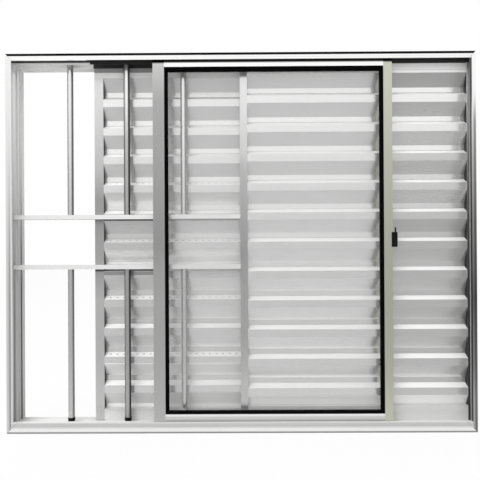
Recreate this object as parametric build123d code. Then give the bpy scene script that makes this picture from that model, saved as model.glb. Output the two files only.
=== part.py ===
from build123d import *
from math import ceil
import os

# Shuttered sliding window in natural aluminium, seen from the room side.
# Millimetres. X runs to the viewer's right, +Y to the outside, +Z up.
# The origin is on the underside of the sill, in the middle of the frame's width and depth.

# Outer frame
window_width = 1200.0
window_height = 970.0
frame_wall = 1.6
head_lip_height = 17.5
sill_lip_height = 28.5
sill_back_height = 11.0
jamb_lip_width = 15.5
jamb_back_width = 8.0
trim_width = 11.5
lip_depth = 3.2
lip_step = 1.2
mitre_margin = 1.0
head_shadow_height = 6.5
sill_foot_height = 4.3
sill_flange_height = 15.5
sill_bead_height = 4.0
jamb_rib_height = 3.0

# Three tracks, one behind the other
leaf_depth = 21.0
track_pitch = 28.0
front_reveal = 5.0
back_reveal = 3.0
divider_height = 20.0
divider_wall = 1.5
rail_fin_wall = 1.6
rail_fin_height = 8.0
fin_tracks = (0, 2)
head_clearance = 7.4
leaf_floor_gap = 4.0
fin_slot_gap = 1.2

# Glass leaf, on the inner track
glass_leaf_left = -224.0
glass_leaf_width = 612.0
glass_left_stile = 29.5
glass_right_stile = 22.0
glass_top_rail = 25.2
glass_bottom_rail = 40.8
leaf_wall = 1.5
pocket_depth = 9.0
pocket_width = 9.5
glass_thickness = 4.0
glass_edge_gap = 2.0
gasket_side = 8.0
gasket_top = 10.0
gasket_bottom = 6.5
gasket_slope = 5.0
gasket_lip = 1.0
gasket_inset = 1.5

# Latch on the outer edge of the glass leaf
latch_height = 38.0
latch_width = 11.6
latch_body_depth = 12.0
latch_plate_lap = 2.5
latch_plate = 1.8
latch_lever_depth = 1.8
latch_centre_height = 491.0
latch_lever_width = 3.2
latch_lever_height = 30.0
latch_lever_rise = 12.0
latch_corner = 2.5

# Louvre blades, one profile for both shuttered leaves
blade_pitch = 76.6
blade_wall = 1.2
blade_face = 19.4
blade_slope_drop = 34.0
blade_depth = 16.0
tail_lean = 0.7
ledge_rise = 9.1
hook_height = 5.0
hook_gap = 0.4
screen_leg = 8.0
blade_gap = 0.3

# Ventilation slots in every second ledge of the sliding shutter
slot_pitch = 17.8
slot_length = 5.6
slot_width = 3.2
slot_margin = 12.0
slot_reach = 7.2
slotted_every = 2

# Fixed shuttered leaf, on the middle track
fixed_leaf_left = -1.0
fixed_left_stile = 19.0
fixed_right_stile = 7.0
fixed_bottom_rail = 55.5

# Sliding ventilated shutter, on the outer track
vent_leaf_left = -391.0
vent_leaf_width = 612.0
vent_stile = 24.0
vent_bottom_rail = 36.0
shutter_top_rail = 34.0

# Security grille, on the middle track
grille_rail_height = 11.5
grille_rail_wall = 1.2
grille_mid_height = 488.0
grille_rail_spacing = 131.0
grille_bar_diameter = 15.9
grille_bar_wall = 1.2
grille_bays = 4

# Rollers under the two sliding leaves
roller_radius = 7.0
roller_width = 5.0
roller_axle = 2.0
roller_inset = 80.0
roller_seat_gap = 0.3
roller_head_gap = 1.0

# Places worked out from the sizes
frame_depth = front_reveal + 2 * track_pitch + leaf_depth + back_reveal
inner_face = -frame_depth / 2
outer_face = frame_depth / 2
web_x = window_width / 2 - frame_wall
head_web_z = window_height - frame_wall
leaf_top = head_web_z - head_clearance
rail_fin_top = frame_wall + rail_fin_height
sliding_leaf_bottom = frame_wall + leaf_floor_gap
louvre_top = leaf_top - shutter_top_rail
roller_axis_z = rail_fin_top + roller_seat_gap + roller_radius
roller_channel = roller_axis_z + roller_radius + roller_head_gap - sliding_leaf_bottom


def leaf_front(track):
    """Y of the room-side face of the leaves on a track, 0 being the inner one."""
    return inner_face + front_reveal + track * track_pitch


def divider_front(number):
    """Y of the fin between two tracks, in the middle of the gap between their leaves."""
    gap = track_pitch - leaf_depth
    return leaf_front(number) + leaf_depth + (gap - divider_wall) / 2


def rect(a0, b0, a1, b1):
    """Rectangle in a section plane, given by two corners."""
    return Pos((a0 + a1) / 2, (b0 + b1) / 2) * Rectangle(a1 - a0, b1 - b0)


def along_x(section, x0, x1):
    """Run a section drawn in Y and Z along X."""
    return Pos(x0, 0, 0) * extrude(Plane.YZ * section, x1 - x0)


def along_z(section, z0, z1):
    """Run a section drawn in X and Y up along Z."""
    return Pos(0, 0, z0) * extrude(section, z1 - z0)


def box(low, high):
    """Box given by its low and high corners."""
    middle = [(a + b) / 2 for a, b in zip(low, high)]
    return Pos(*middle) * Box(*[b - a for a, b in zip(low, high)])


def lip_prism(points):
    """Prism over the depth of the front trim, from an outline drawn in X and Z."""
    face = make_face(Plane.XZ * Polyline(*points, close=True))
    prism = extrude(face, 2 * lip_depth, both=True)
    return Pos(0, inner_face, 0) * prism


def corner_cut(side, upward, lip_height, jamb):
    """Space that a jamb and a track leave each other at a mitred corner of the trim."""
    past_end = -mitre_margin
    past_side = jamb_lip_width + mitre_margin
    past_lip = lip_height + mitre_margin
    if jamb:
        steps = [(frame_wall, past_end), (frame_wall, frame_wall), (trim_width, trim_width),
                 (trim_width, lip_height), (past_side, lip_height), (past_side, past_end)]
    else:
        steps = [(0, frame_wall), (frame_wall, frame_wall), (trim_width, trim_width),
                 (trim_width, past_lip), (0, past_lip)]
    base = 0 if upward else window_height
    turn = 1 if upward else -1
    points = [(side * (window_width / 2 - a), base + turn * b) for a, b in steps]
    return lip_prism(points)


def mitred(track, upward, lip_height):
    """Cut both trim corners of a head or sill."""
    for side in (-1, 1):
        track = track - corner_cut(side, upward, lip_height, jamb=False)
    return track


def sill_track():
    """Sill: stepped front trim, dividers, two rail fins and a low outer edge on a flat web."""
    y0 = inner_face
    recess_top = sill_lip_height - sill_bead_height
    section = rect(y0 + lip_step, 0, outer_face, frame_wall)
    section += rect(y0 + lip_step, 0, y0 + lip_depth, sill_foot_height)
    section += rect(y0, sill_foot_height, y0 + lip_depth, sill_flange_height)
    section += rect(y0 + lip_step, sill_flange_height, y0 + lip_depth, recess_top)
    section += rect(y0, recess_top, y0 + lip_depth, sill_lip_height)
    section += rect(outer_face - frame_wall, 0, outer_face, sill_back_height)
    for number, height in ((0, divider_height), (1, sill_back_height)):
        fin = divider_front(number)
        section += rect(fin, 0, fin + divider_wall, height)
    for track in fin_tracks:
        fin = leaf_front(track) + (leaf_depth - rail_fin_wall) / 2
        section += rect(fin, 0, fin + rail_fin_wall, rail_fin_top)
    return mitred(along_x(section, -web_x, web_x), True, sill_lip_height)


def head_track():
    """Head: trim with a set-back upper edge, two hanging dividers and an outer lip."""
    y0 = inner_face
    top = window_height
    bottom = top - head_lip_height
    section = rect(y0 + lip_step, head_web_z, outer_face, top)
    section += rect(y0 + lip_step, top - head_shadow_height, y0 + lip_depth, top)
    section += rect(y0, bottom, y0 + lip_depth, top - head_shadow_height)
    section += rect(outer_face - frame_wall, bottom, outer_face, top)
    for number in (0, 1):
        fin = divider_front(number)
        section += rect(fin, bottom, fin + divider_wall, top)
    return mitred(along_x(section, -web_x, web_x), False, head_lip_height)


def jamb(side):
    """Jamb: flat web, beaded front trim mitred into head and sill, two low ribs, outer lip."""
    y0 = inner_face
    edge = window_width / 2
    trim = rect(edge - trim_width, y0 + lip_step, edge, y0 + lip_depth)
    trim += rect(edge - jamb_lip_width, y0, edge - trim_width, y0 + lip_depth)
    body = along_z(trim, 0, window_height)
    body -= corner_cut(1, True, sill_lip_height, jamb=True)
    body -= corner_cut(1, False, head_lip_height, jamb=True)
    body += box((web_x, y0 + lip_step, 0), (edge, outer_face, window_height))
    rib_bottom = (divider_height, sill_back_height)
    for number in (0, 1):
        fin = divider_front(number)
        low = (web_x - jamb_rib_height, fin, rib_bottom[number])
        body += box(low, (web_x, fin + divider_wall, window_height - head_lip_height))
    low = (edge - jamb_back_width, outer_face - frame_wall, sill_back_height)
    body += box(low, (edge, outer_face, window_height - head_lip_height))
    return body if side > 0 else mirror(body, Plane.YZ)


def member_section(width, pocket, channel):
    """Hollow leaf member: u from its outer edge, v from its room-side face.

    An open channel lies at the outer edge, a glazing pocket at the inner one.
    """
    middle = leaf_depth / 2
    section = rect(0, 0, width, leaf_depth)
    chamber_end = width - leaf_wall
    if pocket:
        section -= rect(width - pocket_depth, middle - pocket_width / 2, width, middle + pocket_width / 2)
        chamber_end -= pocket_depth
    if channel:
        section -= rect(0, leaf_wall, channel, leaf_depth - leaf_wall)
    chamber_start = channel + leaf_wall
    section -= rect(chamber_start, leaf_wall, chamber_end, leaf_depth - leaf_wall)
    return section


def fin_slot(track):
    """Room that the foot of a sliding stile leaves round the rail fin it rides over."""
    half = rail_fin_wall / 2 + fin_slot_gap
    middle = leaf_front(track) + leaf_depth / 2
    return box((-window_width, middle - half, 0),
               (window_width, middle + half, rail_fin_top + fin_slot_gap))


def stile(section, x_outer, inward, track, z0, z1):
    """Upright leaf member; inward is +1 for a left stile and -1 for a right one."""
    body = along_z(section, z0, z1)
    if inward < 0:
        body = mirror(body, Plane.YZ)
    body = Pos(x_outer, leaf_front(track), 0) * body
    return body - fin_slot(track) if track in fin_tracks else body


def rail(section, z_outer, inward, track, x0, x1):
    """Level leaf member; inward is +1 for a bottom rail and -1 for a top one."""
    body = extrude(Plane((0, 0, 0), x_dir=(0, 0, 1), z_dir=(-1, 0, 0)) * section, -(x1 - x0))
    if inward < 0:
        body = mirror(body, Plane.XY)
    return Pos(x0, leaf_front(track), z_outer) * body


def rollers(x0, x1, track):
    """Two nylon wheels with axle stubs, standing on a rail fin inside a bottom rail."""
    centre_y = leaf_front(track) + leaf_depth / 2
    axle_length = leaf_depth - 2 * leaf_wall
    turned = Cylinder(roller_radius, roller_width) + Cylinder(roller_axle, axle_length)
    wheel = Rot(90, 0, 0) * turned
    places = (x0 + roller_inset, x1 - roller_inset)
    return Compound(children=[Pos(x, centre_y, roller_axis_z) * wheel for x in places])


glass_leaf_right = glass_leaf_left + glass_leaf_width
glass_x0 = glass_leaf_left + glass_left_stile
glass_x1 = glass_leaf_right - glass_right_stile
glass_z0 = sliding_leaf_bottom + glass_bottom_rail
glass_z1 = leaf_top - glass_top_rail


def glass_leaf():
    """Sliding sash: two stiles, two rails between them, pane, gaskets and rollers."""
    left = member_section(glass_left_stile, True, 0)
    right = member_section(glass_right_stile, True, 0)
    top = member_section(glass_top_rail, True, 0)
    bottom = member_section(glass_bottom_rail, True, roller_channel)
    foot = sliding_leaf_bottom
    pane_y = leaf_front(0) + (leaf_depth - glass_thickness) / 2
    reach = pocket_depth - glass_edge_gap
    pane = box((glass_x0 - reach, pane_y, glass_z0 - reach),
               (glass_x1 + reach, pane_y + glass_thickness, glass_z1 + reach))
    return {
        "glass_leaf_left_stile": stile(left, glass_leaf_left, 1, 0, foot, leaf_top),
        "glass_leaf_right_stile": stile(right, glass_leaf_right, -1, 0, foot, leaf_top),
        "glass_leaf_top_rail": rail(top, leaf_top, -1, 0, glass_x0, glass_x1),
        "glass_leaf_bottom_rail": rail(bottom, foot, 1, 0, glass_x0, glass_x1),
        "glass_pane": pane,
        "inner_glass_gasket": gasket(leaf_front(0) + gasket_inset, pane_y),
        "outer_glass_gasket": gasket(leaf_front(0) + leaf_depth - gasket_inset, pane_y + glass_thickness),
        "glass_leaf_rollers": rollers(glass_x0, glass_x1, 0),
    }


def gasket(y_face, y_glass):
    """Rubber strip round the pane, sloping from the sash edge down to the glass."""
    turn = 1 if y_glass > y_face else -1
    y_thin = y_glass - turn * gasket_lip
    outer = box((glass_x0, min(y_face, y_glass), glass_z0), (glass_x1, max(y_face, y_glass), glass_z1))
    hole_x = (glass_x0 + glass_x1) / 2
    hole_z = (glass_z0 + gasket_bottom + glass_z1 - gasket_top) / 2
    width = glass_x1 - glass_x0 - 2 * gasket_side
    height = glass_z1 - glass_z0 - gasket_top - gasket_bottom
    flare = 2 * gasket_slope
    wide = Plane((hole_x, y_face, hole_z), x_dir=(1, 0, 0), z_dir=(0, turn, 0))
    narrow = Plane((hole_x, y_thin, hole_z), x_dir=(1, 0, 0), z_dir=(0, turn, 0))
    taper = loft([wide * Rectangle(width + flare, height + flare), narrow * Rectangle(width, height)])
    straight = extrude(narrow * Rectangle(width, height), gasket_lip)
    return outer - taper - straight


def latch():
    """Small moulded latch on the leaf's outer edge: body with a front plate, and a lever."""
    x0 = glass_leaf_right
    x1 = x0 + latch_width
    y0 = leaf_front(0)
    z0 = latch_centre_height - latch_height / 2
    z1 = z0 + latch_height
    block = box((x0, y0, z0), (x1, y0 + latch_body_depth, z1))
    plate = box((x0 - latch_plate_lap, y0 - latch_plate, z0), (x1, y0, z1))
    body = block + plate
    outer_edges = body.edges().filter_by(Axis.Y).group_by(Axis.X)[-1]
    body = fillet(outer_edges, latch_corner)
    lever_x = (x0 + x1 - latch_lever_width) / 2
    lever_z = z1 + latch_lever_rise
    lever_y = y0 - latch_plate
    lever = box((lever_x, lever_y - latch_lever_depth, lever_z - latch_lever_height),
                (lever_x + latch_lever_width, lever_y, lever_z))
    return {"latch_body": body, "latch_lever": lever}


def blade_section():
    """Louvre section: u is the depth behind the leaf's face, v the height from the nose.

    Hook, ledge falling to the room, upright face, slope going back, then a nearly upright
    tail that ends on the ledge of the blade below. A leg hangs behind the ledge's slots.
    """
    fall = ledge_rise / blade_depth
    crease = (blade_depth, -blade_face - blade_slope_drop)
    tail_depth = blade_depth - tail_lean
    tail_end = (tail_depth, (tail_depth + blade_wall) * fall - blade_pitch + blade_gap)
    back = blade_depth + blade_wall + hook_gap
    foot = back * fall
    path = Polyline((back, foot + hook_height), (back, foot), (0, 0), (0, -blade_face), crease, tail_end)
    shell = Wire(path.edges()).offset_2d(blade_wall, kind=Kind.INTERSECTION, side=Side.LEFT)
    return make_face(shell.edges()) + rect(back, foot - screen_leg, back + blade_wall, foot)


def ledge_slots(x0, x1):
    """Row of slots cut straight through the middle of a ledge, across its fall."""
    count = int((x1 - x0 - 2 * slot_margin) // slot_pitch) + 1
    start = (x0 + x1 - (count - 1) * slot_pitch) / 2
    middle = (blade_depth / 2, ledge_rise / 2)
    tool = Box(slot_length, slot_width, slot_reach)
    return [Pos(start + i * slot_pitch, *middle) * tool for i in range(count)]


def blades(x0, x1, track, bottom, slotted):
    """Louvres between two stiles, from the top rail down to the bottom rail."""
    section = blade_section()
    plain = along_x(section, x0, x1)
    vented = plain - ledge_slots(x0, x1) if slotted else plain
    nose = louvre_top + blade_face
    count = ceil((nose - bottom) / blade_pitch)
    window = box((x0, inner_face, bottom), (x1, outer_face, louvre_top))
    placed = []
    for number in range(count):
        source = plain if number % slotted_every else vented
        blade = Pos(0, leaf_front(track), nose - number * blade_pitch) * source
        placed.append(blade & window if number in (0, count - 1) else blade)
    return placed


def in_groups(prefix, pieces):
    """Share like pieces between an upper, a middle and a lower node."""
    size = ceil(len(pieces) / 3)
    names = ("upper", "middle", "lower")
    return {f"{prefix}_{name}_blades": Compound(children=pieces[i * size:(i + 1) * size])
            for i, name in enumerate(names)}


def fixed_leaf():
    """Shuttered leaf that stays put, between the middle of the frame and the right jamb."""
    bottom = frame_wall
    x0 = fixed_leaf_left + fixed_left_stile
    x1 = web_x - fixed_right_stile
    louvre_bottom = bottom + fixed_bottom_rail
    parts = {
        "fixed_leaf_left_stile":
            stile(member_section(fixed_left_stile, False, 0), fixed_leaf_left, 1, 1, bottom, leaf_top),
        "fixed_leaf_right_stile":
            stile(member_section(fixed_right_stile, False, 0), web_x, -1, 1, bottom, leaf_top),
        "fixed_leaf_top_rail":
            rail(member_section(shutter_top_rail, False, 0), leaf_top, -1, 1, x0, x1),
        "fixed_leaf_bottom_rail":
            rail(member_section(fixed_bottom_rail, False, 0), bottom, 1, 1, x0, x1),
    }
    parts.update(in_groups("fixed_leaf", blades(x0, x1, 1, louvre_bottom, False)))
    return parts


def vent_leaf():
    """Sliding shutter with slotted ledges, its top rail running over the stiles."""
    bottom = sliding_leaf_bottom
    right = vent_leaf_left + vent_leaf_width
    x0 = vent_leaf_left + vent_stile
    x1 = right - vent_stile
    upright = member_section(vent_stile, False, 0)
    low_rail = member_section(vent_bottom_rail, False, roller_channel)
    parts = {
        "vent_leaf_left_stile": stile(upright, vent_leaf_left, 1, 2, bottom, louvre_top),
        "vent_leaf_right_stile": stile(upright, right, -1, 2, bottom, louvre_top),
        "vent_leaf_top_rail":
            rail(member_section(shutter_top_rail, False, 0), leaf_top, -1, 2, vent_leaf_left, right),
        "vent_leaf_bottom_rail": rail(low_rail, bottom, 1, 2, x0, x1),
        "vent_leaf_rollers": rollers(x0, x1, 2),
    }
    parts.update(in_groups("vent_leaf", blades(x0, x1, 2, bottom + vent_bottom_rail, True)))
    return parts


def grille():
    """Security grille: two level tubes, and round bars above and below them."""
    x0 = -web_x
    x1 = fixed_leaf_left
    y0 = leaf_front(1)
    parts = {}
    half = grille_rail_height / 2
    levels = {"lower": grille_mid_height - grille_rail_spacing / 2,
              "upper": grille_mid_height + grille_rail_spacing / 2}
    for name, z in levels.items():
        tube = rect(y0, z - half, y0 + leaf_depth, z + half)
        tube -= rect(y0 + grille_rail_wall, z - half + grille_rail_wall,
                     y0 + leaf_depth - grille_rail_wall, z + half - grille_rail_wall)
        parts[f"grille_{name}_rail"] = along_x(tube, x0, x1)
    radius = grille_bar_diameter / 2
    ring = Circle(radius) - Circle(radius - grille_bar_wall)
    spans = {"lower": (frame_wall, levels["lower"] - half), "upper": (levels["upper"] + half, head_web_z)}
    for name, (z0, z1) in spans.items():
        for bay, place in enumerate(("left", "middle", "right"), start=1):
            x = x0 + (x1 - x0) * bay / grille_bays
            bar = Pos(x, y0 + leaf_depth / 2) * ring
            parts[f"grille_{name}_{place}_bar"] = along_z(bar, z0, z1)
    return parts


def window():
    """Every piece of the window by its name."""
    parts = {"sill_track": sill_track(), "head_track": head_track(),
             "left_jamb": jamb(-1), "right_jamb": jamb(1)}
    for group in (glass_leaf(), latch(), fixed_leaf(), vent_leaf(), grille()):
        parts.update(group)
    return parts


os.makedirs("parts", exist_ok=True)
for node, shape in window().items():
    export_step(shape, f"parts/{node}.step")
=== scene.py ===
"""Looks of a sliding shuttered window in natural aluminium, seen from the room side.

Metres. +X to the right as the room sees it, +Y to the outside, +Z up, origin under the sill.
"""

import math

import bpy
import numpy as np
from mathutils import Matrix, Vector


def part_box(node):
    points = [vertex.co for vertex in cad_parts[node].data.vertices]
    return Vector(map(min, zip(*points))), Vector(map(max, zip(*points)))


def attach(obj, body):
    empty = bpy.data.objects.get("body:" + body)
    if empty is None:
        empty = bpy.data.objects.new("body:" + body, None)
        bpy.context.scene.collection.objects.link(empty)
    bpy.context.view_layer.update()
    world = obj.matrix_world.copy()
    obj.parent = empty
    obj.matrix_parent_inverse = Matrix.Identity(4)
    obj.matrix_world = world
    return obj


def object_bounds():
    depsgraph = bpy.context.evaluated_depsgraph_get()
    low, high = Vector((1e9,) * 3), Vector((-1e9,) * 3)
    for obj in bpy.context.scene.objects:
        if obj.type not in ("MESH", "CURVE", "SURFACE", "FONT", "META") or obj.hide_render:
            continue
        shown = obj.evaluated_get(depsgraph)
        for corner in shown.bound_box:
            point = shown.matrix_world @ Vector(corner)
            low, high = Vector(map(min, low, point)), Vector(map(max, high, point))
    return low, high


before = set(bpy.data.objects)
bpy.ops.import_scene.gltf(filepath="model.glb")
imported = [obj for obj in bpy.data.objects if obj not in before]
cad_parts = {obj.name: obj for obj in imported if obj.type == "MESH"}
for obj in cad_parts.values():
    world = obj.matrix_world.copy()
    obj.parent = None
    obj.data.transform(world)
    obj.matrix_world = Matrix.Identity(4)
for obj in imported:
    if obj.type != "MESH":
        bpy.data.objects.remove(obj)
cad_low, cad_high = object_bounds()

# Camera, worked out from the frame's four front corners in the photograph
PHOTO_SIZE = 480
SENSOR_WIDTH = 36.0
FOCAL_PIXELS = 455.9
CAMERA_DISTANCE = 1.16
CAMERA_X = 0.0027
CAMERA_Z = 0.4895
CAMERA_YAW = math.radians(-0.234)
CAMERA_PITCH = math.radians(0.102)
CAMERA_ROLL = math.radians(-0.294)

# Colours
ALUMINIUM = (0.94, 0.94, 0.935)
WARM_ALUMINIUM = (0.94, 0.955, 0.80)
RUBBER_BLACK = (0.001, 0.001, 0.001)
PLASTIC_BLACK = (0.004, 0.004, 0.004)
GLASS_TINT = (0.86, 0.87, 0.865)
NYLON_WHITE = (0.80, 0.80, 0.77)
FLOOR_COLOUR = (0.86, 0.86, 0.86)
BLACK = (0.0, 0.0, 0.0)
WHITE = (1.0, 1.0, 1.0)

# Drawn metal: the axis of the extrusion, the scale of each noise, what it adds to the tone
# and to the roughness, and the relief of the die lines
RUN_X, RUN_Z = 0, 2
STRETCH_ALONG_RUN = 0.012
LINE_SCALE, BAND_SCALE, CLOUD_SCALE = 900.0, 90.0, 7.0
CLEAN_TONE, LINE_TONE, BAND_TONE, CLOUD_TONE = 0.96, 0.06, 0.04, 0.04
LINE_GLOSS, CLOUD_GLOSS, SHADED_GLOSS = 0.07, 0.05, 0.2
MEAN_GLOSS = 0.05
LINE_RELIEF, LINE_STRENGTH = 0.00004, 0.35

# Glass: how much the film and a slanting look add to what is seen on it
GLASS_LEAST, GLASS_FILM, GLASS_SLANT = 0.02, 0.02, 0.3
GLASS_FILM_SCALE = 3.0
GLASS_BLEND = 0.35
GLASS_ROUGHNESS = 0.02

# Light levels, where 1 is white. Ramps are (from, to), in parts of a direction for the
# world and in metres for the floor.
ROOM_LEVEL = 0.87
EYE_LEVEL_GLOSS = 0.46
CEILING_GAIN, CEILING_RAMP = 0.5, (0.0, 0.32)
WALL_DIMMING, WALL_RAMP = 0.72, (0.62, 0.95)
BACK_GLOSS, BACK_RAMP = 0.93, (0.88, 0.95)
FLOOR_SIZE = 14.0
FLOOR_NEAR_GLOSS = 0.60
FLOOR_NEAR_DROP, FLOOR_NEAR_RAMP = 0.16, (0.08, 0.7)
FLOOR_FAR_DROP, FLOOR_FAR_RAMP = 0.10, (1.2, 3.6)
FLOOR_BEHIND_RAMP = (0.0, 0.6)
FLOOR_SEEN_SHARE = 0.9
SOFTBOX_TARGET = (0, 0, 0.5)

# Sleeves at the feet of the grille's bars
SLEEVE_WALL = 0.0012
SLEEVE_HEIGHT = 0.009
SLEEVE_FOOT = 0.0175
SLEEVE_PRESS = 0.0001
SLEEVE_STEPS_AROUND = 48
SLEEVE_STEPS_SECTION = 24

# How far a face turns to an axis to count as facing it: mostly, as a side wall, squarely,
# and as the end wall of a slot
MOSTLY = 0.5
SIDEWAYS = 0.7
SQUARELY = 0.95
SLOT_SQUARELY = 0.97

# Depth of the frame's front trim, and of its outermost face
TRIM_DEPTH = 0.006
FRONT_DEPTH = 0.004
STRIP_MARGIN = 0.001
MITRE_HALF_WIDTH = 0.00035
MITRE_DARKNESS = 0.6

# Head: painted shade, black on the set-back upper edge, dark in the recess, and a dark band behind
# the trim in the strip
HEAD_EDGE_HEIGHT, HEAD_EDGE_DEPTH = 0.0066, 0.0035
HEAD_EDGE_DARKNESS = 0.985
HEAD_RECESS_DARKNESS = 0.91
HEAD_STRIP_SHADE_DROP, HEAD_STRIP_SHADE_REACH = 0.0132, 0.040
HEAD_SATIN = 0.3

# Sill
SILL_SATIN = 0.6
SILL_FILM = 0.4
FILM_RAMP = (0.05, 0.3)

# Jambs: painted light and shade across the trims and tracks, and a near-black band on the right
# jamb's inner side
LEFT_PALE_RAMP = (0.3, 0.85)
LEFT_PALE_TRIM = 0.87
LEFT_LIP = 0.002
JAMB_SATIN = 0.45
RIGHT_PALE_RAMP = (0.78, 0.88)
RIGHT_GROOVE_EDGE, RIGHT_GROOVE_TONE = 0.5896, 0.08
RIGHT_SIDE_TONE, RIGHT_TRIM_SIDE_TONE = 0.9, 0.25
RIGHT_FRONT_TILT = 0.05
# a near-black band on the right jamb's inner side, in the middle track
INNER_DARK_BAND, INNER_DARK_TONE = (-0.018, -0.009), 0.05

# Stiles of the shutters: painted shade on the side walls, and the painted shadow line that the
# grille's rail throws
STILE_WALL_TONE = 0.06
SHADED_STILE_WALL_TONE = 0.05
STILE_LINE_BAND, STILE_LINE_DARKNESS = (0.4092, 0.4145), 0.75
TRACK_MARGIN = 0.002

# Blades: painted shade on the slopes and in the slots, and the painted shadows of the grille on
# what stands behind it
SLOPE_RAMP = (0.1, 0.3)
SLOT_LEG_DEPTH = 0.0165
SLOT_WALL_DEPTHS = (0.009, 0.0103)
RAIL_LEDGE_BAND, RAIL_LEDGE_SHADOW = (0.4085, 0.4165), 0.9
RAIL_FACE_BAND, RAIL_FACE_SHADOW = (0.3992, 0.4085), 0.43
RAIL_LINE_BAND, RAIL_LINE_SHADOW = (0.5448, 0.5482), 0.75
MID_BAND, MID_SHADOW = (0.44, 0.545), 0.16
LOW_SLOPE_TOP, LOW_SLOPE_SHADOW = 0.41, 0.2
LINES_BEHIND_GLASS, FACES_BEHIND_GLASS = 0.35, 0.12
BLADE_SATIN, UPWARD_SATIN = 0.22, 0.78
LOWEST_BLADE_TOP, LOWEST_BLADE_SATIN = 0.0845, 0.63
OVER_SILL_BAND, OVER_RAIL_BAND, COVERED_SATIN = (0.132, 0.163), (0.428, 0.452), 0.5

# Grille: painted shade on the flanks and back of the bars, by what stands in front or behind, and
# under the rails
LEFT_FLANK_RAMP, RIGHT_FLANK_RAMP = (0.45, 0.85), (0.45, 0.8)
FLANK_BEHIND_GLASS, FLANK_IN_STRIP, FLANK_BEFORE_SHUTTER = 0.3, 0.5, 0.88
BAR_BACK_FACING, BAR_BACK_DARKNESS = 0.3, 0.6
LOW_BAR_SHADE = 0.08
SHADED_BAR_TONE, SHADED_BAR_RAMP = 0.68, (0.72, 0.88)
RAIL_UNDERSIDE_DARKNESS = 0.88

# Painted light and shade: tones across the sections and over the heights, each a place in metres
# and a tone
SILL_TONES = [(0.0, 0.28), (0.0025, 0.36), (0.004, 0.55), (0.0055, 1.0), (0.012, 1.0),
              (0.0145, 0.78), (0.0165, 0.62), (0.0215, 0.68), (0.0245, 0.70), (0.0265, 0.80),
              (0.0285, 0.78)]
LEFT_TRIM_TONES = [(-0.6, 0.9), (-0.5975, 0.82), (-0.5945, 0.70), (-0.5925, 0.60), (-0.5905, 0.32),
                   (-0.589, 0.32), (-0.5875, 0.72), (-0.586, 1.0), (-0.5845, 1.0)]
TRACK_TONES_LOW = [(-0.0393, 0.8), (-0.0125, 0.8), (-0.0095, 0.5), (-0.0055, 0.12), (0.0, 0.28),
                   (0.005, 0.38), (0.0116, 0.8), (0.0145, 0.85), (0.0185, 0.26), (0.0225, 0.28),
                   (0.028, 0.66), (0.0315, 0.55), (0.035, 0.2), (0.0375, 0.08), (0.042, 0.08)]
TRACK_TONES_HIGH = [(-0.0393, 0.9), (-0.008, 0.9), (-0.003, 0.85), (0.003, 1.0), (0.008, 0.85),
                    (0.013, 1.0), (0.0187, 1.0), (0.024, 0.95), (0.030, 0.72), (0.035, 1.0),
                    (0.042, 1.0)]
RIGHT_TRIM_TONES = [(0.583, 0.10), (0.5868, 0.10), (0.5878, 0.40), (0.5888, 0.95), (0.591, 1.0),
                    (0.5925, 0.85), (0.5945, 0.45), (0.5965, 0.33), (0.5985, 0.60), (0.6, 0.65)]
RIGHT_HEIGHT_TONES = [(0.0, 0.50), (0.08, 0.50), (0.17, 0.30), (0.34, 0.14), (0.55, 0.33),
                      (0.70, 0.60), (0.85, 1.0), (0.97, 1.0)]
GLASS_STILE_TONES = [(0.0, 0.90), (0.16, 0.98), (0.33, 1.0), (0.42, 0.84), (0.48, 0.67),
                     (0.85, 0.65), (0.9455, 0.86), (0.9462, 0.005), (0.97, 0.005)]
LOCK_STILE_TONES = [(0.0, 0.93), (0.07, 1.0), (0.33, 0.97), (0.42, 0.91), (0.5, 0.86),
                    (0.7, 0.80), (0.9455, 0.82), (0.9462, 0.005), (0.97, 0.005)]
GLASS_RAIL_TONES = [(0.0285, 0.40), (0.031, 0.45), (0.034, 0.70), (0.040, 0.73), (0.0422, 1.0),
                    (0.9455, 1.0), (0.9462, 0.005), (0.97, 0.005)]
VENT_STILE_TONES = [(0.0, 0.90), (0.33, 0.90), (0.38, 0.75), (0.46, 0.65), (0.6, 0.55),
                    (0.68, 0.77), (0.85, 0.90), (0.97, 1.0)]
FIXED_STILE_TONES = [(0.0, 0.87), (0.12, 0.87), (0.24, 0.65), (0.33, 0.63), (0.46, 0.50),
                     (0.60, 0.62), (0.68, 0.70), (0.72, 0.88), (0.85, 1.0), (0.97, 1.0)]
SHADED_STILE_TONES = [(0.0, 0.15), (0.1, 0.15), (0.17, 0.14), (0.34, 0.14), (0.55, 0.25),
                      (0.7, 0.55), (0.85, 1.0), (0.97, 1.0)]
FOOT_TONES = [(0.0, 1.0), (0.018, 0.95), (0.028, 0.86), (0.04, 0.72), (0.06, 0.68)]
VENT_RAIL_TONES = [(0.927, 0.85), (0.931, 1.0), (0.9415, 1.0), (0.9422, 0.36), (0.961, 0.36)]
FIXED_RAIL_TONES = [(0.927, 1.0), (0.9325, 1.0), (0.9345, 0.72), (0.9365, 1.0), (0.951, 1.0),
                    (0.952, 0.02), (0.961, 0.02)]
SLOPE_TONES = [(0.065, 1.0), (0.144, 0.82), (0.221, 0.76), (0.297, 0.70), (0.374, 0.76),
               (0.451, 0.75), (0.527, 0.70), (0.604, 0.88), (0.681, 0.82), (0.757, 0.94),
               (0.834, 0.82), (0.91, 0.70)]
FACE_TONES = [(0.0, 0.85), (0.19, 0.82), (0.33, 0.80), (0.41, 0.77), (0.49, 0.73), (0.56, 0.83),
              (0.64, 0.87), (0.70, 0.79), (0.718, 0.79), (0.72, 1.0), (0.97, 1.0)]
# how much shade is painted in the slots, over the height
SLOT_SHADE_BY_HEIGHT = [(0.0, 0.97), (0.25, 0.97), (0.28, 0.35), (0.40, 0.35), (0.43, 0.05), (0.97, 0.05)]


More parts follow.
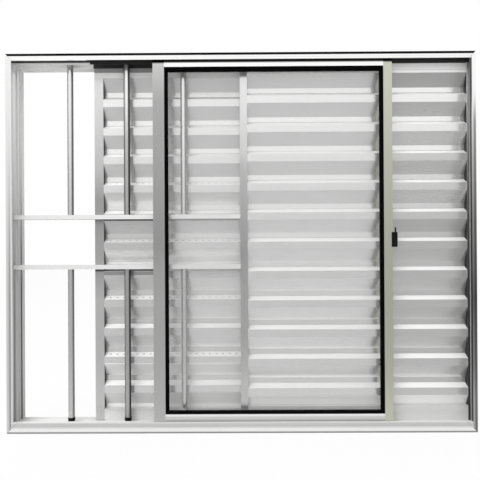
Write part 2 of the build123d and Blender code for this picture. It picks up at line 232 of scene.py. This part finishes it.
class Signal:
    """One number of a node tree. Sums and products of signals add their Math nodes."""

    def __init__(self, tree, socket):
        self.tree = tree
        self.socket = socket

    def math(self, operation, *others):
        return math_node(self.tree, operation, self, *others)

    def __add__(self, other):
        return self.math("ADD", other)

    def __sub__(self, other):
        return self.math("SUBTRACT", other)

    def __mul__(self, other):
        return self.math("MULTIPLY", other)

    def __truediv__(self, other):
        return self.math("DIVIDE", other)

    def __rsub__(self, other):
        return math_node(self.tree, "SUBTRACT", other, self)

    def __neg__(self):
        return self.math("MULTIPLY", -1.0)

    def __gt__(self, other):
        return self.math("GREATER_THAN", other)

    def __lt__(self, other):
        return self.math("LESS_THAN", other)

    def __abs__(self):
        return self.math("ABSOLUTE")

    __radd__ = __add__
    __rmul__ = __mul__

    def most(self, other):
        return self.math("MAXIMUM", other)

    def least(self, other):
        return self.math("MINIMUM", other)

    def within(self, band):
        """1 between the two ends of a band, 0 outside."""
        low, high = band
        return (self > low) * (self < high)

    def ramp(self, low, high):
        """0 below low, 1 above high, smooth between them."""
        node = add(self.tree, "ShaderNodeMapRange", {"interpolation_type": "SMOOTHSTEP"},
                   Value=self, From_Min=low, From_Max=high)
        return Signal(self.tree, node.outputs["Result"])

    def tones(self, stops):
        """Tone read along a section. Stops are (metres along, tone), straight between them."""
        low, high = stops[0][0], stops[-1][0]
        shares = [((at - low) / (high - low), tone) for at, tone in stops]
        share = (self - low) / (high - low)
        node = add(self.tree, "ShaderNodeValToRGB", {"stops": shares}, Fac=share)
        return Signal(self.tree, node.outputs["Color"])


def feed(tree, socket, value):
    """Give a socket a link, a number or a colour."""
    if isinstance(value, Signal):
        tree.links.new(value.socket, socket)
    elif isinstance(value, bpy.types.NodeSocket):
        tree.links.new(value, socket)
    else:
        size = len(socket.default_value) if hasattr(socket.default_value, "__len__") else 0
        if size == 4 and len(value) == 3:
            value = (*value, 1.0)
        socket.default_value = value


def add(tree, kind, settings=None, **sockets):
    """A node of a type, with its settings made first and its sockets fed by name."""
    node = tree.nodes.new(kind)
    for key, value in (settings or {}).items():
        if key == "stops":
            set_stops(node.color_ramp, value)
        else:
            setattr(node, key, value)
    for name, value in sockets.items():
        feed(tree, node.inputs[name.replace("_", " ")], value)
    return node


def math_node(tree, operation, *values):
    """A Math node fed in order with signals or numbers."""
    node = add(tree, "ShaderNodeMath", {"operation": operation})
    for index, value in enumerate(values):
        feed(tree, node.inputs[index], value)
    return Signal(tree, node.outputs[0])


def set_stops(ramp, stops):
    """Give a colour ramp its stops, each a place from 0 to 1 and a grey level."""
    while len(ramp.elements) < len(stops):
        ramp.elements.new(1.0)
    for element, (place, level) in zip(ramp.elements, stops):
        element.position = place
        element.color = (level, level, level, 1.0)


def coordinates(tree, kind):
    """Texture coordinates of one kind: Object, Normal, or Generated for the world."""
    return add(tree, "ShaderNodeTexCoord").outputs[kind]


def parts_of(tree, vector):
    """The three parts of a vector."""
    parts = add(tree, "ShaderNodeSeparateXYZ", Vector=vector)
    return [Signal(tree, out) for out in parts.outputs]


def noise(tree, where, scale, stretch=(1, 1, 1), detail=2.0, rough=0.5):
    """Noise from 0 to 1 over the object's own coordinates, with a stretch for each axis."""
    mapped = add(tree, "ShaderNodeMapping", Vector=where, Scale=stretch).outputs[0]
    texture = add(tree, "ShaderNodeTexNoise", Vector=mapped, Scale=scale, Detail=detail,
                  Roughness=rough)
    return Signal(tree, texture.outputs[0])


def mix_colour(tree, share, low, high):
    """Colour between low and high."""
    node = add(tree, "ShaderNodeMix", {"data_type": "RGBA"})
    feed(tree, node.inputs["Factor"], share)
    feed(tree, node.inputs[6], low)
    feed(tree, node.inputs[7], high)
    return node.outputs[2]


def between(share, low, high):
    """Value that goes from low to high as share goes from 0 to 1."""
    return low + share * (high - low)


def scaled(colour, factor):
    """The same colour, brighter or darker."""
    return tuple(part * factor for part in colour)


def new_material(name):
    """Empty material with its Principled shader wired to the output."""
    material = bpy.data.materials.new(name)
    material.use_nodes = True
    tree = material.node_tree
    tree.nodes.clear()
    shader = add(tree, "ShaderNodeBsdfPrincipled")
    output = add(tree, "ShaderNodeOutputMaterial")
    tree.links.new(shader.outputs[0], output.inputs["Surface"])
    return material, tree, shader


def drawn_aluminium(name, run, tone=1.0, roughness=0.3, satin=0.0, shading=None,
                    colour=ALUMINIUM, grain=1.0):
    """Natural extruded aluminium: die lines along the run, faint clouds of oxide, soft gloss.

    run is the axis that the extrusion follows. satin is the share of the gloss that the pale
    oxide takes, a number or a function of place and facing. shading is such a function for
    the painted light and shade over the section, 1 on clean metal and less where shade is
    painted in. grain is how strongly the die lines show.
    """
    material, tree, shader = new_material(name)
    where = coordinates(tree, "Object")
    place = parts_of(tree, where)
    turned = parts_of(tree, coordinates(tree, "Normal"))
    stretch = [1.0, 1.0, 1.0]
    stretch[run] = STRETCH_ALONG_RUN
    lines = noise(tree, where, LINE_SCALE, stretch, detail=3.0, rough=0.6)
    bands = noise(tree, where, BAND_SCALE, stretch, detail=1.0)
    clouds = noise(tree, where, CLOUD_SCALE, detail=3.0)
    shade = CLEAN_TONE + LINE_TONE * grain * (lines - 0.5) + BAND_TONE * grain * (bands - 0.5)
    shade = shade + CLOUD_TONE * clouds
    gloss = roughness - MEAN_GLOSS + LINE_GLOSS * lines + CLOUD_GLOSS * clouds
    if shading:
        # painted light and shade from the shading function, multiplied into the tone
        painted_shade = shading(place, turned)
        shade = shade * painted_shade
        gloss = gloss + SHADED_GLOSS * (1.0 - painted_shade)
    feed(tree, shader.inputs["Base Color"], mix_colour(tree, shade, BLACK, scaled(colour, tone)))
    feed(tree, shader.inputs["Roughness"], gloss)
    if callable(satin):
        feed(tree, shader.inputs["Metallic"], (1.0 - satin(place, turned)).most(0.0))
    else:
        shader.inputs["Metallic"].default_value = 1.0 - satin
    bump = add(tree, "ShaderNodeBump", Height=lines, Distance=LINE_RELIEF,
               Strength=LINE_STRENGTH * grain)
    feed(tree, shader.inputs["Normal"], bump.outputs[0])
    return material


def moulded(name, colour, deepest, scale, detail, roughness, specular=0.5, relief=None):
    """Moulded rubber or plastic with a fine grain.

    The colour goes to itself times deepest over the grain. roughness is its least and what
    the grain adds, and relief the depth and strength of the grain's bump.
    """
    material, tree, shader = new_material(name)
    grain = noise(tree, coordinates(tree, "Object"), scale, detail=detail)
    feed(tree, shader.inputs["Base Color"],
         mix_colour(tree, grain, colour, scaled(colour, deepest)))
    feed(tree, shader.inputs["Roughness"], roughness[0] + roughness[1] * grain)
    shader.inputs["Specular IOR Level"].default_value = specular
    if relief:
        depth, strength = relief
        bump = add(tree, "ShaderNodeBump", Height=grain, Distance=depth, Strength=strength)
        feed(tree, shader.inputs["Normal"], bump.outputs[0])
    return material


def clear_glass():
    """Float glass: nearly clear, with a faint pale film and more gloss at a slant."""
    material, tree, shader = new_material("clear_float_glass")
    film = noise(tree, coordinates(tree, "Object"), GLASS_FILM_SCALE, detail=4.0)
    weight = add(tree, "ShaderNodeLayerWeight", Blend=GLASS_BLEND)
    slant = Signal(tree, weight.outputs["Fresnel"])
    seen = GLASS_LEAST + GLASS_FILM * film + GLASS_SLANT * slant
    feed(tree, shader.inputs["Alpha"], seen.least(1.0))
    shader.inputs["Base Color"].default_value = (*GLASS_TINT, 1.0)
    shader.inputs["Roughness"].default_value = GLASS_ROUGHNESS
    return material


def in_strip(place):
    """1 in the open strip, left of the sliding shutter."""
    return place[0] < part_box("vent_leaf_left_stile")[0].x - STRIP_MARGIN


def left_of_glass(place):
    """1 left of the clear pane, where nothing stands before the grille."""
    return place[0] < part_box("glass_leaf_left_stile")[1].x


def left_of_fixed_leaf(place):
    """1 left of the fixed leaf, where the sliding shutter shows."""
    return place[0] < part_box("fixed_leaf_left_stile")[0].x


def mitre_line(place):
    """Tone of a fine dull line on the diagonal of each front corner, 1 away from it."""
    low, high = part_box("sill_track")[0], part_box("head_track")[1]
    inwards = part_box("right_jamb")[1].x - abs(place[0])
    upwards = place[2].least(high.z - place[2])
    near = (abs(inwards - upwards) < MITRE_HALF_WIDTH) * (place[1] < low.y + TRIM_DEPTH)
    return 1.0 - MITRE_DARKNESS * near


def head_edge(place, turned):
    """1 on the set-back upper edge of the head's front, where black shade is painted."""
    low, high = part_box("head_track")
    edge = (place[2] > high.z - HEAD_EDGE_HEIGHT) * (place[1] < low.y + HEAD_EDGE_DEPTH)
    return edge * (turned[2] < MOSTLY)


def head_shading(place, turned):
    """Painted shade: black on the upper edge, dark in the recess over the leaves, and over the
    open strip only a dark band high behind the trim.
    """
    low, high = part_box("head_track")
    # inside faces of the head's channel, where shade is painted
    inside = (turned[2] < -MOSTLY).most(place[1] > low.y + TRIM_DEPTH)
    inside = inside * (turned[1] < MOSTLY) * (turned[2] < MOSTLY)
    # over the open strip, painted shade only high up behind the trim
    strip_shade = (place[2] > high.z - HEAD_STRIP_SHADE_DROP) * (place[1] < low.y + HEAD_STRIP_SHADE_REACH)
    recess = inside * between(in_strip(place), 1.0, strip_shade)
    dark = (HEAD_EDGE_DARKNESS * head_edge(place, turned)).most(HEAD_RECESS_DARKNESS * recess)
    return (1.0 - dark) * mitre_line(place)


def head_satin(place, turned):
    """Satin, matt inside over the open strip, bare on the black edge."""
    inside = in_strip(place) * (place[1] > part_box("head_track")[0].y + FRONT_DEPTH)
    inside = inside * (turned[1] < MOSTLY)
    return between(inside, between(head_edge(place, turned), HEAD_SATIN, 0.0), 1.0)


def sill_shading(place, turned):
    """Painted light and shade in bands across the sill's front: dark foot, pale flange, darker
    recess and bead.
    """
    front = (turned[1] < -MOSTLY) * (place[1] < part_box("sill_track")[0].y + FRONT_DEPTH)
    # painted bands of light and shade on the front faces
    return between(front, 1.0, place[2].tones(SILL_TONES)) * mitre_line(place)


def sill_satin(place, turned):
    """Satin on the front, matt in the trough behind it, with a pale film on what faces up."""
    trough = place[1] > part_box("sill_track")[0].y + FRONT_DEPTH
    return between(trough, SILL_SATIN, 1.0) + SILL_FILM * turned[2].ramp(*FILM_RAMP)


def left_jamb_shading(place, turned):
    """Painted light and shade in bands across the left jamb's trim and tracks, darker low down and
    paler towards the head.
    """
    rise = place[2].ramp(*LEFT_PALE_RAMP)
    trim = between(rise, place[0].tones(LEFT_TRIM_TONES), LEFT_PALE_TRIM)
    tracks = between(rise, place[1].tones(TRACK_TONES_LOW), place[1].tones(TRACK_TONES_HIGH))
    lip = place[1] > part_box("left_jamb")[1].y - LEFT_LIP
    front = (turned[1] < -MOSTLY) * (1.0 - lip)
    # painted shade on the trim's front and on the tracks' side walls
    dark = (front * (1.0 - trim)).most((turned[0] > MOSTLY) * (1.0 - tracks))
    return (1.0 - dark) * mitre_line(place)


def left_jamb_satin(place, turned):
    """Satin, and matt on the outer lip."""
    lip = (place[1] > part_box("left_jamb")[1].y - LEFT_LIP) * (turned[1] < MOSTLY)
    return between(lip, JAMB_SATIN, 1.0)


def right_jamb_shading(place, turned):
    """Painted light and shade in bands across the right jamb's trim, darkest below the middle,
    darker on the inner sides, and a near-black band on the inner side.
    """
    trim = place[0].tones(RIGHT_TRIM_TONES) * place[2].tones(RIGHT_HEIGHT_TONES)
    # near the head, painted shade beside the groove's edge
    groove = (place[0] > RIGHT_GROOVE_EDGE).most(RIGHT_GROOVE_TONE)
    trim = between(place[2].ramp(*RIGHT_PALE_RAMP), trim, groove)
    ahead = place[1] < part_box("right_jamb")[0].y + TRIM_DEPTH
    side = turned[0] < -MOSTLY
    inner = between(side, 1.0, between(ahead, RIGHT_SIDE_TONE, RIGHT_TRIM_SIDE_TONE))
    # a near-black band on the inner side, in the middle track
    inner = between(side * place[1].within(INNER_DARK_BAND), inner, INNER_DARK_TONE)
    front = ahead * (turned[0] < MOSTLY) * (turned[1] < -RIGHT_FRONT_TILT)
    return between(front, inner, trim) * mitre_line(place)


def over_height(stops):
    """Painted light and shade that changes with the height alone."""
    return lambda place, turned: place[2].tones(stops)


def shutter_stile_shading(place, turned):
    """Painted shade: dark on the side walls, in the shade of the blades, lighter and darker over
    the height, and a dark shadow line under the grille.
    """
    on_outer_track = place[1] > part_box("vent_leaf_left_stile")[0].y - TRACK_MARGIN
    heights = between(on_outer_track, place[2].tones(FIXED_STILE_TONES),
                      place[2].tones(VENT_STILE_TONES))
    line = (place[0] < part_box("vent_leaf_left_stile")[1].x) * place[2].within(STILE_LINE_BAND)
    line = line * (turned[1] < -MOSTLY)
    # painted shade: near black on the side walls, and the tone over the height
    tone = between(abs(turned[0]) > SIDEWAYS, heights, STILE_WALL_TONE)
    return tone * (1.0 - STILE_LINE_DARKNESS * line)


def shaded_stile_shading(place, turned):
    """The fixed leaf's right stile, in the shade of the jamb."""
    heights = place[2].tones(SHADED_STILE_TONES)
    return between(turned[0] < -SIDEWAYS, heights, SHADED_STILE_WALL_TONE)


def slot_darkness(place, turned):
    """Painted shade in the slots: on the leg behind them and on their far walls."""
    vent_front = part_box("vent_leaf_left_stile")[0].y
    fixed_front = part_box("fixed_leaf_left_stile")[0].y
    fixed_leg = (place[1] < vent_front) * (place[1] > fixed_front + SLOT_LEG_DEPTH)
    leg = (place[1] > vent_front + SLOT_LEG_DEPTH).most(fixed_leg) * (turned[1] < -MOSTLY)
    reach = [vent_front + depth for depth in SLOT_WALL_DEPTHS]
    wall = (turned[1] < -SLOT_SQUARELY) * place[1].within(reach)
    return place[2].tones(SLOT_SHADE_BY_HEIGHT) * leg.most(wall)


def grille_shadow(place, turned, slope):
    """How much painted shadow the grille throws on the blades behind it, less where the glass
    covers them.
    """
    beside, behind = left_of_glass(place), left_of_fixed_leaf(place)
    face = turned[1] < -SQUARELY
    ledge = (turned[2] > MOSTLY) * place[2].within(RAIL_LEDGE_BAND)
    lines = RAIL_LEDGE_SHADOW * ledge + RAIL_LINE_SHADOW * (face * place[2].within(RAIL_LINE_BAND))
    faces = RAIL_FACE_SHADOW * (face * place[2].within(RAIL_FACE_BAND))
    shadow = lines * beside.most(LINES_BEHIND_GLASS * behind)
    shadow = shadow.most(MID_SHADOW * beside * place[2].within(MID_BAND))
    shadow = shadow.most(faces * beside.most(FACES_BEHIND_GLASS * behind))
    shadow = shadow.most(LOW_SLOPE_SHADOW * beside * slope * (place[2] < LOW_SLOPE_TOP))
    return shadow * (turned[1] < 0.0)


def blade_shading(place, turned):
    """Painted shade: darker on the slopes and faces of the uncovered blades, dark in the slots,
    and in the grille's painted shadow beside the glass leaf.
    """
    slope = (-turned[2]).ramp(*SLOPE_RAMP)
    uncovered = place[0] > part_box("glass_leaf_right_stile")[0].x
    shadow = grille_shadow(place, turned, slope)
    face = (turned[1] < -SQUARELY) * uncovered
    shadow = shadow.most(face * (1.0 - place[2].tones(FACE_TONES)))
    slopes = between(slope * uncovered, 1.0, place[2].tones(SLOPE_TONES))
    return slopes * (1.0 - slot_darkness(place, turned)) * (1.0 - shadow)


def blade_satin(place, turned):
    """Soft gloss, matt on the ledges, and duller over the sill and the grille's rail."""
    lowest = LOWEST_BLADE_SATIN * (place[2] < LOWEST_BLADE_TOP)
    over = place[2].within(OVER_SILL_BAND).most(place[2].within(OVER_RAIL_BAND))
    own = lowest.most(COVERED_SATIN * over * left_of_fixed_leaf(place))
    return BLADE_SATIN + own + UPWARD_SATIN * turned[2].ramp(*FILM_RAMP)


def bar_shading(place, turned):
    """Painted shade: dark on the back and along the flanks, and darker below the grille's rails
    and in front of the shutter.
    """
    flank = (-turned[0]).ramp(*LEFT_FLANK_RAMP).most(turned[0].ramp(*RIGHT_FLANK_RAMP))
    beside = left_of_glass(place)
    shaded = beside * (place[0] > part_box("vent_leaf_left_stile")[0].x)
    low = LOW_BAR_SHADE * (place[2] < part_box("grille_lower_rail")[0].z)
    rise = between(place[2].ramp(*SHADED_BAR_RAMP), SHADED_BAR_TONE, 1.0)
    tone = between(shaded, 1.0 - low, rise)
    depth = between(beside, FLANK_BEHIND_GLASS, FLANK_IN_STRIP)
    depth = between(shaded, depth, FLANK_BEFORE_SHUTTER)
    back = BAR_BACK_DARKNESS * (turned[1] > BAR_BACK_FACING)
    return (1.0 - back.most(depth * flank)) * tone


def grille_rail_shading(place, turned):
    """Painted shade underneath."""
    return 1.0 - RAIL_UNDERSIDE_DARKNESS * (turned[2] < -MOSTLY)


def aluminium_finishes():
    """The finish of each extruded node."""
    finishes = {
        "sill_track": drawn_aluminium("sill_aluminium", RUN_X, satin=sill_satin,
                                      shading=sill_shading),
        "head_track": drawn_aluminium("head_aluminium", RUN_X, satin=head_satin,
                                      shading=head_shading),
        "left_jamb": drawn_aluminium("left_jamb_aluminium", RUN_Z, satin=left_jamb_satin,
                                     shading=left_jamb_shading),
        "right_jamb": drawn_aluminium("right_jamb_aluminium", RUN_Z, satin=JAMB_SATIN,
                                      shading=right_jamb_shading),
        "glass_leaf_left_stile": drawn_aluminium("sash_stile_aluminium", RUN_Z, tone=0.9,
                                                 roughness=0.28,
                                                 shading=over_height(GLASS_STILE_TONES)),
        "glass_leaf_right_stile": drawn_aluminium("sash_lock_stile_aluminium", RUN_Z, tone=0.92,
                                                  roughness=0.28, colour=WARM_ALUMINIUM,
                                                  shading=over_height(LOCK_STILE_TONES)),
        "fixed_leaf_right_stile": drawn_aluminium("shaded_stile_aluminium", RUN_Z, satin=0.3,
                                                  roughness=0.28, shading=shaded_stile_shading),
        "fixed_leaf_top_rail": drawn_aluminium("fixed_rail_aluminium", RUN_X, satin=1.0,
                                               shading=over_height(FIXED_RAIL_TONES)),
        "vent_leaf_top_rail": drawn_aluminium("vent_rail_aluminium", RUN_X, satin=1.0,
                                              shading=over_height(VENT_RAIL_TONES))}
    sash_rail = drawn_aluminium("sash_rail_aluminium", RUN_X, tone=0.98, satin=0.6,
                                shading=over_height(GLASS_RAIL_TONES))
    shutter_stile = drawn_aluminium("shutter_stile_aluminium", RUN_Z, roughness=0.28, satin=0.1,
                                    shading=shutter_stile_shading)
    foot_rail = drawn_aluminium("shutter_foot_aluminium", RUN_X, satin=0.9,
                                shading=over_height(FOOT_TONES))
    blade = drawn_aluminium("blade_aluminium", RUN_X, roughness=0.24, satin=blade_satin,
                            shading=blade_shading, grain=0.3)
    bar = drawn_aluminium("grille_bar_aluminium", RUN_Z, roughness=0.2, satin=0.1,
                          shading=bar_shading)
    grille_rail = drawn_aluminium("grille_rail_aluminium", RUN_X, roughness=0.22, satin=0.5,
                                  shading=grille_rail_shading)
    for edge in ("top", "bottom"):
        finishes[f"glass_leaf_{edge}_rail"] = sash_rail
    for stile in ("fixed_leaf_left", "vent_leaf_left", "vent_leaf_right"):
        finishes[f"{stile}_stile"] = shutter_stile
    for leaf in ("fixed", "vent"):
        finishes[f"{leaf}_leaf_bottom_rail"] = foot_rail
        for height in ("upper", "middle", "lower"):
            finishes[f"{leaf}_leaf_{height}_blades"] = blade
    for height in ("lower", "upper"):
        finishes[f"grille_{height}_rail"] = grille_rail
        for side in ("left", "middle", "right"):
            finishes[f"grille_{height}_{side}_bar"] = bar
    return finishes


def finish_nodes():
    """Give every CAD node its finish, and return the black plastic for the sleeves."""
    rubber = moulded("black_glazing_rubber", RUBBER_BLACK, 2.5, scale=1800.0, detail=2.0,
                     roughness=(0.55, 0.2), specular=0.04, relief=(0.00005, 0.3))
    plastic = moulded("black_moulded_plastic", PLASTIC_BLACK, 2.0, scale=1200.0, detail=3.0,
                      roughness=(0.32, 0.16), specular=0.15, relief=(0.00006, 0.25))
    nylon = moulded("roller_nylon", NYLON_WHITE, 0.86, scale=500.0, detail=2.0,
                    roughness=(0.38, 0.12))
    finishes = {**aluminium_finishes(), "glass_pane": clear_glass(),
                "inner_glass_gasket": rubber, "outer_glass_gasket": rubber,
                "glass_leaf_rollers": nylon, "vent_leaf_rollers": nylon,
                "latch_body": plastic, "latch_lever": plastic}
    for node, material in finishes.items():
        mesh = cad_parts[node].data
        mesh.materials.clear()
        mesh.materials.append(material)
    return plastic


def foot_sleeves(material):
    """Black sleeves round the feet of the grille's lower bars.

    Each is a ring round its bar: the section is a rounded rectangle, with half width and
    half height times the signed square roots of the cosine and sine of the section's
    angle, carried round the bar's axis.
    """
    around = np.linspace(0, 2 * np.pi, SLEEVE_STEPS_AROUND, endpoint=False)[:, None]
    section = np.linspace(0, 2 * np.pi, SLEEVE_STEPS_SECTION, endpoint=False)[None, :]
    wide = np.sign(np.cos(section)) * np.sqrt(np.abs(np.cos(section)))
    tall = np.sign(np.sin(section)) * np.sqrt(np.abs(np.sin(section)))
    for side in ("left", "middle", "right"):
        low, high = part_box(f"grille_lower_{side}_bar")
        radius = (high.x - low.x) / 2 + SLEEVE_WALL / 2 - SLEEVE_PRESS
        reach = radius + SLEEVE_WALL / 2 * wide
        x = (low.x + high.x) / 2 + reach * np.cos(around)
        y = (low.y + high.y) / 2 + reach * np.sin(around)
        z = SLEEVE_FOOT + SLEEVE_HEIGHT / 2 * (1 + tall)
        points = np.stack(np.broadcast_arrays(x, y, z), axis=-1)
        piece = closed_ring(f"grille_{side}_foot_sleeve", points)
        piece.data.materials.append(material)
        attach(piece, "root")


def closed_ring(name, points):
    """Smooth mesh of a grid that closes both ways, with its faces turned outwards."""
    rows, columns = points.shape[:2]
    index = np.arange(rows * columns).reshape(rows, columns)
    along, across = np.roll(index, -1, axis=0), np.roll(index, -1, axis=1)
    faces = np.stack((index, along, np.roll(along, -1, axis=1), across), axis=-1).reshape(-1, 4)
    mesh = bpy.data.meshes.new(name)
    mesh.from_pydata(points.reshape(-1, 3).tolist(), [], faces.tolist())
    mesh.shade_smooth()
    piece = bpy.data.objects.new(name, mesh)
    bpy.context.collection.objects.link(piece)
    return piece


def ray_kinds(tree):
    """1 for rays that the eye sees, straight or through glass, and 1 for glossy rays."""
    path = add(tree, "ShaderNodeLightPath")
    straight = Signal(tree, path.outputs["Is Camera Ray"])
    seen = straight.most(Signal(tree, path.outputs["Is Transmission Ray"]))
    return seen, Signal(tree, path.outputs["Is Glossy Ray"])


def lay_floor():
    """Pale floor: white to the eye and behind the window, greyer in front for what metal
    sees, and matt for everything else, so that the window keeps its soft shadow.
    """
    bpy.ops.mesh.primitive_plane_add(size=FLOOR_SIZE)
    floor = bpy.context.object
    floor.name = "floor"
    material = bpy.data.materials.new("pale_floor")
    material.use_nodes = True
    tree = material.node_tree
    tree.nodes.clear()
    outwards = parts_of(tree, coordinates(tree, "Object"))[1]
    gloss = FLOOR_NEAR_GLOSS - FLOOR_NEAR_DROP * (-outwards).ramp(*FLOOR_NEAR_RAMP)
    gloss = gloss - FLOOR_FAR_DROP * (-outwards).ramp(*FLOOR_FAR_RAMP)
    gloss = gloss + outwards.ramp(*FLOOR_BEHIND_RAMP) * (BACK_GLOSS - gloss)
    seen, glossy = ray_kinds(tree)
    lit = add(tree, "ShaderNodeBsdfDiffuse", Color=FLOOR_COLOUR)
    glow = add(tree, "ShaderNodeEmission", Color=WHITE, Strength=seen + glossy * gloss)
    mixed = add(tree, "ShaderNodeMixShader")
    feed(tree, mixed.inputs[0], FLOOR_SEEN_SHARE * seen + glossy)
    tree.links.new(lit.outputs[0], mixed.inputs[1])
    tree.links.new(glow.outputs[0], mixed.inputs[2])
    output = add(tree, "ShaderNodeOutputMaterial")
    tree.links.new(mixed.outputs[0], output.inputs["Surface"])
    floor.data.materials.append(material)


def studio_world():
    """White to the eye and through glass. Metal sees the white backdrop straight behind the
    window, grey walls beside it, and in front a room that grows brighter above eye level.
    """
    world = bpy.data.worlds.new("studio")
    bpy.context.scene.world = world
    world.use_nodes = True
    world.cycles.sampling_method = "NONE"   # each ray then meets the level meant for its kind
    tree = world.node_tree
    tree.nodes.clear()
    x, y, z = parts_of(tree, coordinates(tree, "Generated"))
    room = EYE_LEVEL_GLOSS + CEILING_GAIN * z.ramp(*CEILING_RAMP)
    front = room * (1.0 - WALL_DIMMING * abs(x).ramp(*WALL_RAMP))
    gloss = between(y.ramp(*BACK_RAMP), front, BACK_GLOSS)
    seen, glossy = ray_kinds(tree)
    level = seen + (1.0 - seen) * (glossy * gloss + (1.0 - glossy) * ROOM_LEVEL)
    background = add(tree, "ShaderNodeBackground", Color=WHITE, Strength=level)
    output = add(tree, "ShaderNodeOutputWorld")
    tree.links.new(background.outputs[0], output.inputs["Surface"])


def soft_light(name, place, size, watts):
    """Square softbox aimed at the window, unseen in its gloss."""
    data = bpy.data.lights.new(name, "AREA")
    data.size = size
    data.energy = watts
    lamp = bpy.data.objects.new(name, data)
    bpy.context.collection.objects.link(lamp)
    lamp.location = place
    aim = Vector(SOFTBOX_TARGET) - Vector(place)
    lamp.rotation_euler = aim.to_track_quat("-Z", "Y").to_euler()
    lamp.visible_glossy = False


def set_camera():
    """Camera of the photograph: right, up and forward turned by yaw, pitch and roll."""
    yaw, pitch, roll = CAMERA_YAW, CAMERA_PITCH, CAMERA_ROLL
    forward = Vector((math.sin(yaw) * math.cos(pitch), math.cos(yaw) * math.cos(pitch),
                      math.sin(pitch)))
    level = Vector((math.cos(yaw), -math.sin(yaw), 0))
    above = level.cross(forward)
    right = level * math.cos(roll) + above * math.sin(roll)
    up = above * math.cos(roll) - level * math.sin(roll)
    data = bpy.data.cameras.new("camera")
    data.sensor_width = SENSOR_WIDTH
    data.lens = FOCAL_PIXELS * SENSOR_WIDTH / PHOTO_SIZE
    camera = bpy.data.objects.new("camera", data)
    bpy.context.collection.objects.link(camera)
    turn = Matrix((right, up, -forward)).transposed().to_4x4()
    place = Vector((CAMERA_X, cad_low.y - CAMERA_DISTANCE, CAMERA_Z))
    camera.matrix_world = Matrix.Translation(place) @ turn
    bpy.context.scene.camera = camera


black_plastic = finish_nodes()
foot_sleeves(black_plastic)
lay_floor()
studio_world()
soft_light("front_softbox", (-1.2, -2.2, 2.6), size=2.2, watts=58.0)
soft_light("back_softbox", (0.8, 2.4, 2.4), size=2.0, watts=5.0)
set_camera()

scene = bpy.context.scene
scene.view_settings.view_transform = "Standard"
